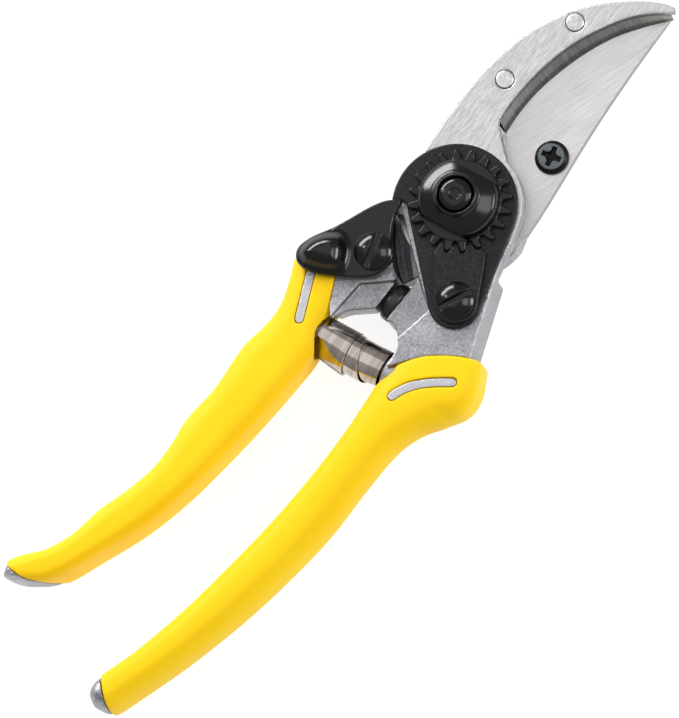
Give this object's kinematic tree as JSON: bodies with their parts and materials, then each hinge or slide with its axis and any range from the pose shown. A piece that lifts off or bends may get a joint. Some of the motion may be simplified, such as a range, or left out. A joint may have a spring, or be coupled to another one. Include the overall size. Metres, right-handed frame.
{
  "type": "bypass pruner",
  "caption": "Hand pruner with a curved cutting blade passing a hooked anvil blade, sprung gripped handles and a thumb catch.",
  "frame": {"origin": "on the pivot axis, at the back face of the pivot bolt's head", "axes": "+Z along the pivot from the bolt head to the nut, +X towards the blade tip, +Y to the side of the blade handle and the hook"},
  "size_m": [0.2145, 0.0579, 0.025],
  "materials": {
    "forged_aluminium": "bead-blasted forging with brushed flats",
    "ground_steel": "ground flat, fine scratches across the blade",
    "dark_ground_steel": "coarse ground, darker chamfer",
    "bright_steel": "turned",
    "blackened_steel": "black e-coat, semi-gloss",
    "chrome_strip": "bright nickel plating",
    "yellow_pvc": "satin dipped PVC",
    "black_rubber": "matte"
  },
  "bodies": {
    "anvil_handle": {"anvil_handle_frame": "forged_aluminium", "anvil_blade": "dark_ground_steel", "anvil_rivet_rear": "bright_steel", "anvil_rivet_front": "bright_steel", "anvil_handle_grip": "yellow_pvc", "cover_plate": "blackened_steel", "pivot_bolt": "blackened_steel", "pivot_bush": "bright_steel", "friction_washer": "bright_steel", "pivot_nut": "blackened_steel", "lock_segment": "blackened_steel", "segment_screw": "blackened_steel", "rubber_bumper": "black_rubber", "volute_spring": "chrome_strip"},
    "blade_handle": {"blade_handle_frame": "forged_aluminium", "cutting_blade": "ground_steel", "blade_screw": "blackened_steel", "blade_handle_grip": "yellow_pvc", "catch_washer": "bright_steel", "catch_screw": "blackened_steel"},
    "thumb_catch": {"thumb_catch": "blackened_steel"}
  },
  "joints": [
    {"name": "main_pivot", "type": "hinge", "parent": "anvil_handle", "child": "blade_handle", "pos_m": [0, 0, 0.009], "axis": [0, 0, -1], "range_deg": [0, 30], "deforming": ["volute_spring"]},
    {"name": "catch_pivot", "type": "hinge", "parent": "blade_handle", "child": "thumb_catch", "pos_m": [-0.0227, 0.0067, 0.0176], "axis": [0, 0, 1], "range_deg": [0, 30]}
  ]
}
